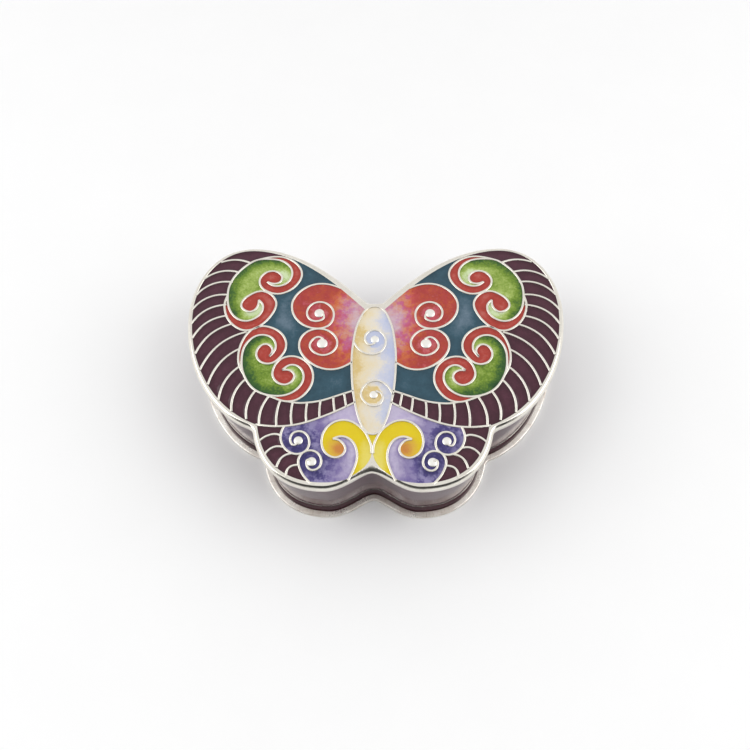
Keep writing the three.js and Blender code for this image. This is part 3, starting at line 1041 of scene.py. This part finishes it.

# Red of the scrolls, deepest beside the wires. The pale pink end of its tones, reached where the clouds
# lift the tone, is painted hazy reflection.
red_piece, plan, from_wire = pool_piece("red")
# the last, pale pink tone is painted reflection
red_glass = glass_material(
    "red glass", [(0.1, (144, 36, 24)), (0.55, (172, 58, 46)), (1.0, (200, 118, 110))],
    clouds=0.9, grain=0.3, waviness=0.0001, shaded=True)
laid(red_piece, 0.3 + 0.3 * np.clip(from_wire, 0, 1), red_glass)

# Shoulders beside the body: red at the outer lobes, through orange and magenta to a pale mauve.
SHOULDER_SPIRALS = [(11.5, 10.4), (10.6, 3.1)]
rose_piece, plan, from_wire = pool_piece("rose")
from_body = np.hypot(np.abs(plan[:, 0]) - 3.4, (plan[:, 1] - 8.8) / 1.75)
in_spirals = np.clip((distance_to(plan, *SHOULDER_SPIRALS) - 1.2) / 1.7, 0, 1)
rose_glass = glass_material(
    "rose glass", [(0.0, (196, 98, 102)), (0.14, (168, 58, 46)), (0.3, (180, 72, 42)),
                   (0.5, (202, 106, 60)), (0.7, (204, 134, 114)), (1.0, (204, 176, 186))],
    clouds=0.7, grain=0.45, waviness=0.0001, shaded=True,
    patch_tones=[(0.0, (184, 72, 86)), (0.14, (164, 50, 46)), (0.3, (176, 62, 56)),
                 (0.5, (190, 74, 78)), (0.7, (190, 90, 130)), (1.0, (196, 158, 182))])
laid(rose_piece, np.maximum(1.06 - from_body / 9.5, 0.2) * in_spirals, rose_glass)

# Body: cream on one side, pale blue on the other, each spiral filled with the other's colour.
SPIRAL_RADIUS = 2.0
body_piece, plan, from_wire = pool_piece("body")
tone = 0.46 + plan[:, 0] / 8.0 + 0.1 * np.sin(plan[:, 1] * 0.9)
for x, y, spiral_tone in ((0.1, 4.3, 0.96), (-0.2, -8.3, 0.02)):
    tone = np.where(np.hypot(plan[:, 0] - x, plan[:, 1] - y) < SPIRAL_RADIUS, spiral_tone, tone)
body_glass = glass_material(
    "cream and blue glass", [(0.0, (216, 190, 128)), (0.2, (229, 213, 176)), (0.5, (227, 219, 204)),
                             (0.72, (204, 206, 220)), (1.0, (186, 194, 222))],
    clouds=0.6, grain=0.6, waviness=0.00008, shaded=True)
laid(body_piece, tone, body_glass)

# Violet of the hindwings: deep round the small spirals, lilac in the hooks and beside the body. Its
# lighter lilac patches are painted reflection: hazy swirls of light on the glass.
HINDWING_SPIRALS = [(14.2, -18.2), (11.5, -22.3)]
violet_piece, plan, from_wire = pool_piece("violet")
paleness = (distance_to(plan, *HINDWING_SPIRALS) - 2.2) / 6.0
violet_glass = glass_material(
    "violet glass", [(0.0, (46, 40, 96)), (0.25, (78, 68, 128)), (0.6, (120, 106, 160)),
                     (1.0, (184, 172, 204))],
    clouds=0.5, grain=0.3, waviness=0.00016, shaded=True,
    # painted reflection: lighter lilac swirls in the patches
    patch_tones=[(0.0, (66, 58, 118)), (0.25, (140, 132, 174)), (0.6, (138, 126, 170)),
                 (1.0, (192, 182, 208))])
laid(violet_piece, 0.08 + paleness * (0.6 + 0.4 * np.clip(from_wire / 0.9, 0, 1)), violet_glass)

# Yellow hooks: clear yellow, golden in the bulb and orange at its inner end, pale down the tail.
HOOK_BULB = (6.3, -19.6)
yellow_piece, plan, from_wire = pool_piece("yellow")
bulb = np.clip(1.15 - distance_to(plan, HOOK_BULB) / 3.0, 0, 1)
tail = np.clip((3.2 - np.abs(plan[:, 0])) / 1.6, 0, 1) * np.clip((-17.2 - plan[:, 1]) / 2, 0, 1)
yellow_glass = glass_material(
    "yellow glass", [(0.0, (230, 214, 100)), (0.28, (226, 202, 4)), (0.5, (222, 192, 8)),
                     (0.75, (216, 172, 56)), (1.0, (200, 128, 56))],
    clouds=0.34, grain=0.3, waviness=0.0001, shaded=True)
laid(yellow_piece, 0.35 + 0.65 * bulb - 0.33 * tail, yellow_glass)

# ---- Silver grains -------------------------------------------------------------------------------
# Small flattened beads in the middle of each spiral. Each is a snippet of silver wire melted into a
# ball, pressed down and soldered on before the enamel is laid.

# Place on one wing, and radius; then those on the body.
GRAINS = [(11.5, 10.4, 1.02), (10.55, 3.15, 1.1), (14.2, -18.05, 0.88), (11.45, -22.25, 0.92)]
BODY_GRAINS = [(0.15, 4.15, 0.86), (0.1, -8.35, 0.84)]
GRAIN_FLATNESS = 0.26
GRAIN_SINK = 0.1


def grain_tree():
    """Geometry nodes: a flattened bead on every point, as wide as the point's own radius."""
    tree, start, end = new_tree("grain on each point", "Points", [("Flatness", 0.5)], "Grains")
    radius = tree.nodes.new("GeometryNodeInputNamedAttribute")
    radius.data_type = "FLOAT"
    radius.inputs["Name"].default_value = "grain_radius"
    bead = tree.nodes.new("GeometryNodeMeshIcoSphere")
    bead.inputs["Radius"].default_value = 1.0
    bead.inputs["Subdivisions"].default_value = 4
    smooth = tree.nodes.new("GeometryNodeSetShadeSmooth")
    height = tree.nodes.new("ShaderNodeMath")
    height.operation = "MULTIPLY"
    size = tree.nodes.new("ShaderNodeCombineXYZ")
    placed = tree.nodes.new("GeometryNodeInstanceOnPoints")
    for a, b in ((bead.outputs["Mesh"], smooth.inputs["Geometry"]),
                 (smooth.outputs["Geometry"], placed.inputs["Instance"]),
                 (start.outputs["Points"], placed.inputs["Points"]),
                 (radius.outputs["Attribute"], height.inputs[0]),
                 (start.outputs["Flatness"], height.inputs[1]),
                 (radius.outputs["Attribute"], size.inputs["X"]),
                 (radius.outputs["Attribute"], size.inputs["Y"]),
                 (height.outputs[0], size.inputs["Z"]),
                 (size.outputs["Vector"], placed.inputs["Scale"])):
        tree.links.new(a, b)
    return finished_in_silver(tree, placed.outputs["Instances"], start, end)


grain_silver = silver_material("grain silver", (250, 248, 242), (228, 220, 208),
                               dullness=0.2, polish=0.32, scratches=0.1, unevenness=0.00002)
grains = [(x * side, y, radius) for x, y, radius in GRAINS for side in (1, -1)] + BODY_GRAINS
grain_plan = np.array([(x, y) for x, y, _ in grains])
grain_places = np.column_stack([grain_plan, field_height(grain_plan) - GRAIN_SINK]) * MM
grain_mesh = bpy.data.meshes.new("grain_points")
grain_mesh.from_pydata(grain_places.tolist(), [], [])
grain_radii = grain_mesh.attributes.new("grain_radius", "FLOAT", "POINT")
grain_radii.data.foreach_set("value", [radius * MM for _, _, radius in grains])
grain_source = bpy.data.objects.new("grain_points", grain_mesh)
bpy.context.scene.collection.objects.link(grain_source)
silver_grains = made_by_nodes("silver_grains", grain_source, grain_tree(),
                              {"Flatness": GRAIN_FLATNESS, "Silver": grain_silver})
finished(silver_grains, grain_silver, "lid_metal")

# ---- Floor, light and camera ---------------------------------------------------------------------
# A plain sheet of white card under two large soft lamps, one on each side, in a pale room that is
# darker high up in front. The box is seen from in front and well above.

FLOOR_HALF = 1.5                    # metres from here on
FLOOR_DROP = 0.00005
FLOOR_CORNERS = [(-1, -1), (1, -1), (1, 1), (-1, 1)]

floor_mesh = bpy.data.meshes.new("floor")
floor_mesh.from_pydata([(x * FLOOR_HALF, y * FLOOR_HALF, -FLOOR_DROP) for x, y in FLOOR_CORNERS],
                       [], [(0, 1, 2, 3)])
floor = bpy.data.objects.new("floor", floor_mesh)
bpy.context.scene.collection.objects.link(floor)
white_card, tree, shader = new_material("white card")
fibres = noise(tree, object_coordinates(tree), 60, 3, 0.6)
paper = mixed(tree, fibres, linear(250, 250, 250), linear(253, 253, 253))
tree.links.new(paper, shader.inputs["Base Color"])
shader.inputs["Roughness"].default_value = 0.8
floor.data.materials.append(white_card)


def soft_light(name, place, target, size, watts):
    lamp = bpy.data.lights.new(name, "AREA")
    lamp.shape = "RECTANGLE"
    lamp.size = size
    lamp.size_y = size
    lamp.energy = watts
    light = bpy.data.objects.new(name, lamp)
    light.location = place
    light.rotation_euler = (Vector(target) - Vector(place)).to_track_quat("-Z", "Y").to_euler()
    bpy.context.scene.collection.objects.link(light)


for name, side in (("left", -1), ("right", 1)):
    soft_light(name, (side * 0.45, -0.04, 0.33), (0, 0, 0.01), size=0.5, watts=1.1)

# Seen from the box, the room is pale at the sides, behind and low down, and dim high in front.
DIM, PALE = 0.06, 0.88
world = bpy.data.worlds.new("studio")
bpy.context.scene.world = world
world.use_nodes = True
room = world.node_tree
direction = room.nodes.new("ShaderNodeTexCoord")
parts = room.nodes.new("ShaderNodeSeparateXYZ")
room.links.new(direction.outputs["Generated"], parts.inputs["Vector"])
not_front = spread(room, parts.outputs["Y"], -0.55, -0.3)
low_down = spread(room, parts.outputs["Z"], 0.24, 0.1)
strength = spread(room, math_node(room, "MAXIMUM", not_front, low_down), 0, 1, DIM, PALE)
room.links.new(strength, room.nodes["Background"].inputs["Strength"])
room.nodes["Background"].inputs["Color"].default_value = (1, 1, 1, 1)
bpy.context.scene.view_settings.view_transform = "Standard"

AZIMUTH = math.radians(3.5)
ELEVATION = math.radians(63)
ROLL = math.radians(-2.98)
LOOK_AT = Vector((0.28, -3.65, LID_TOP)) * MM
CAMERA_DISTANCE = 155 * MM
LENS = 37.2

across, away = math.sin(AZIMUTH), math.cos(AZIMUTH)
towards_camera = Vector((across * math.cos(ELEVATION), -away * math.cos(ELEVATION), math.sin(ELEVATION)))
level = Vector((away, across, 0))
upward = towards_camera.cross(level)
right = level * math.cos(ROLL) + upward * math.sin(ROLL)
upward = upward * math.cos(ROLL) - level * math.sin(ROLL)
lens = bpy.data.cameras.new("camera")
lens.lens = LENS
lens.clip_start = 0.01
camera = bpy.data.objects.new("camera", lens)
bpy.context.scene.collection.objects.link(camera)
camera.matrix_world = Matrix((right, upward, towards_camera)).transposed().to_4x4()
camera.location = LOOK_AT + towards_camera * CAMERA_DISTANCE
bpy.context.scene.camera = camera

bpy.context.view_layer.update()
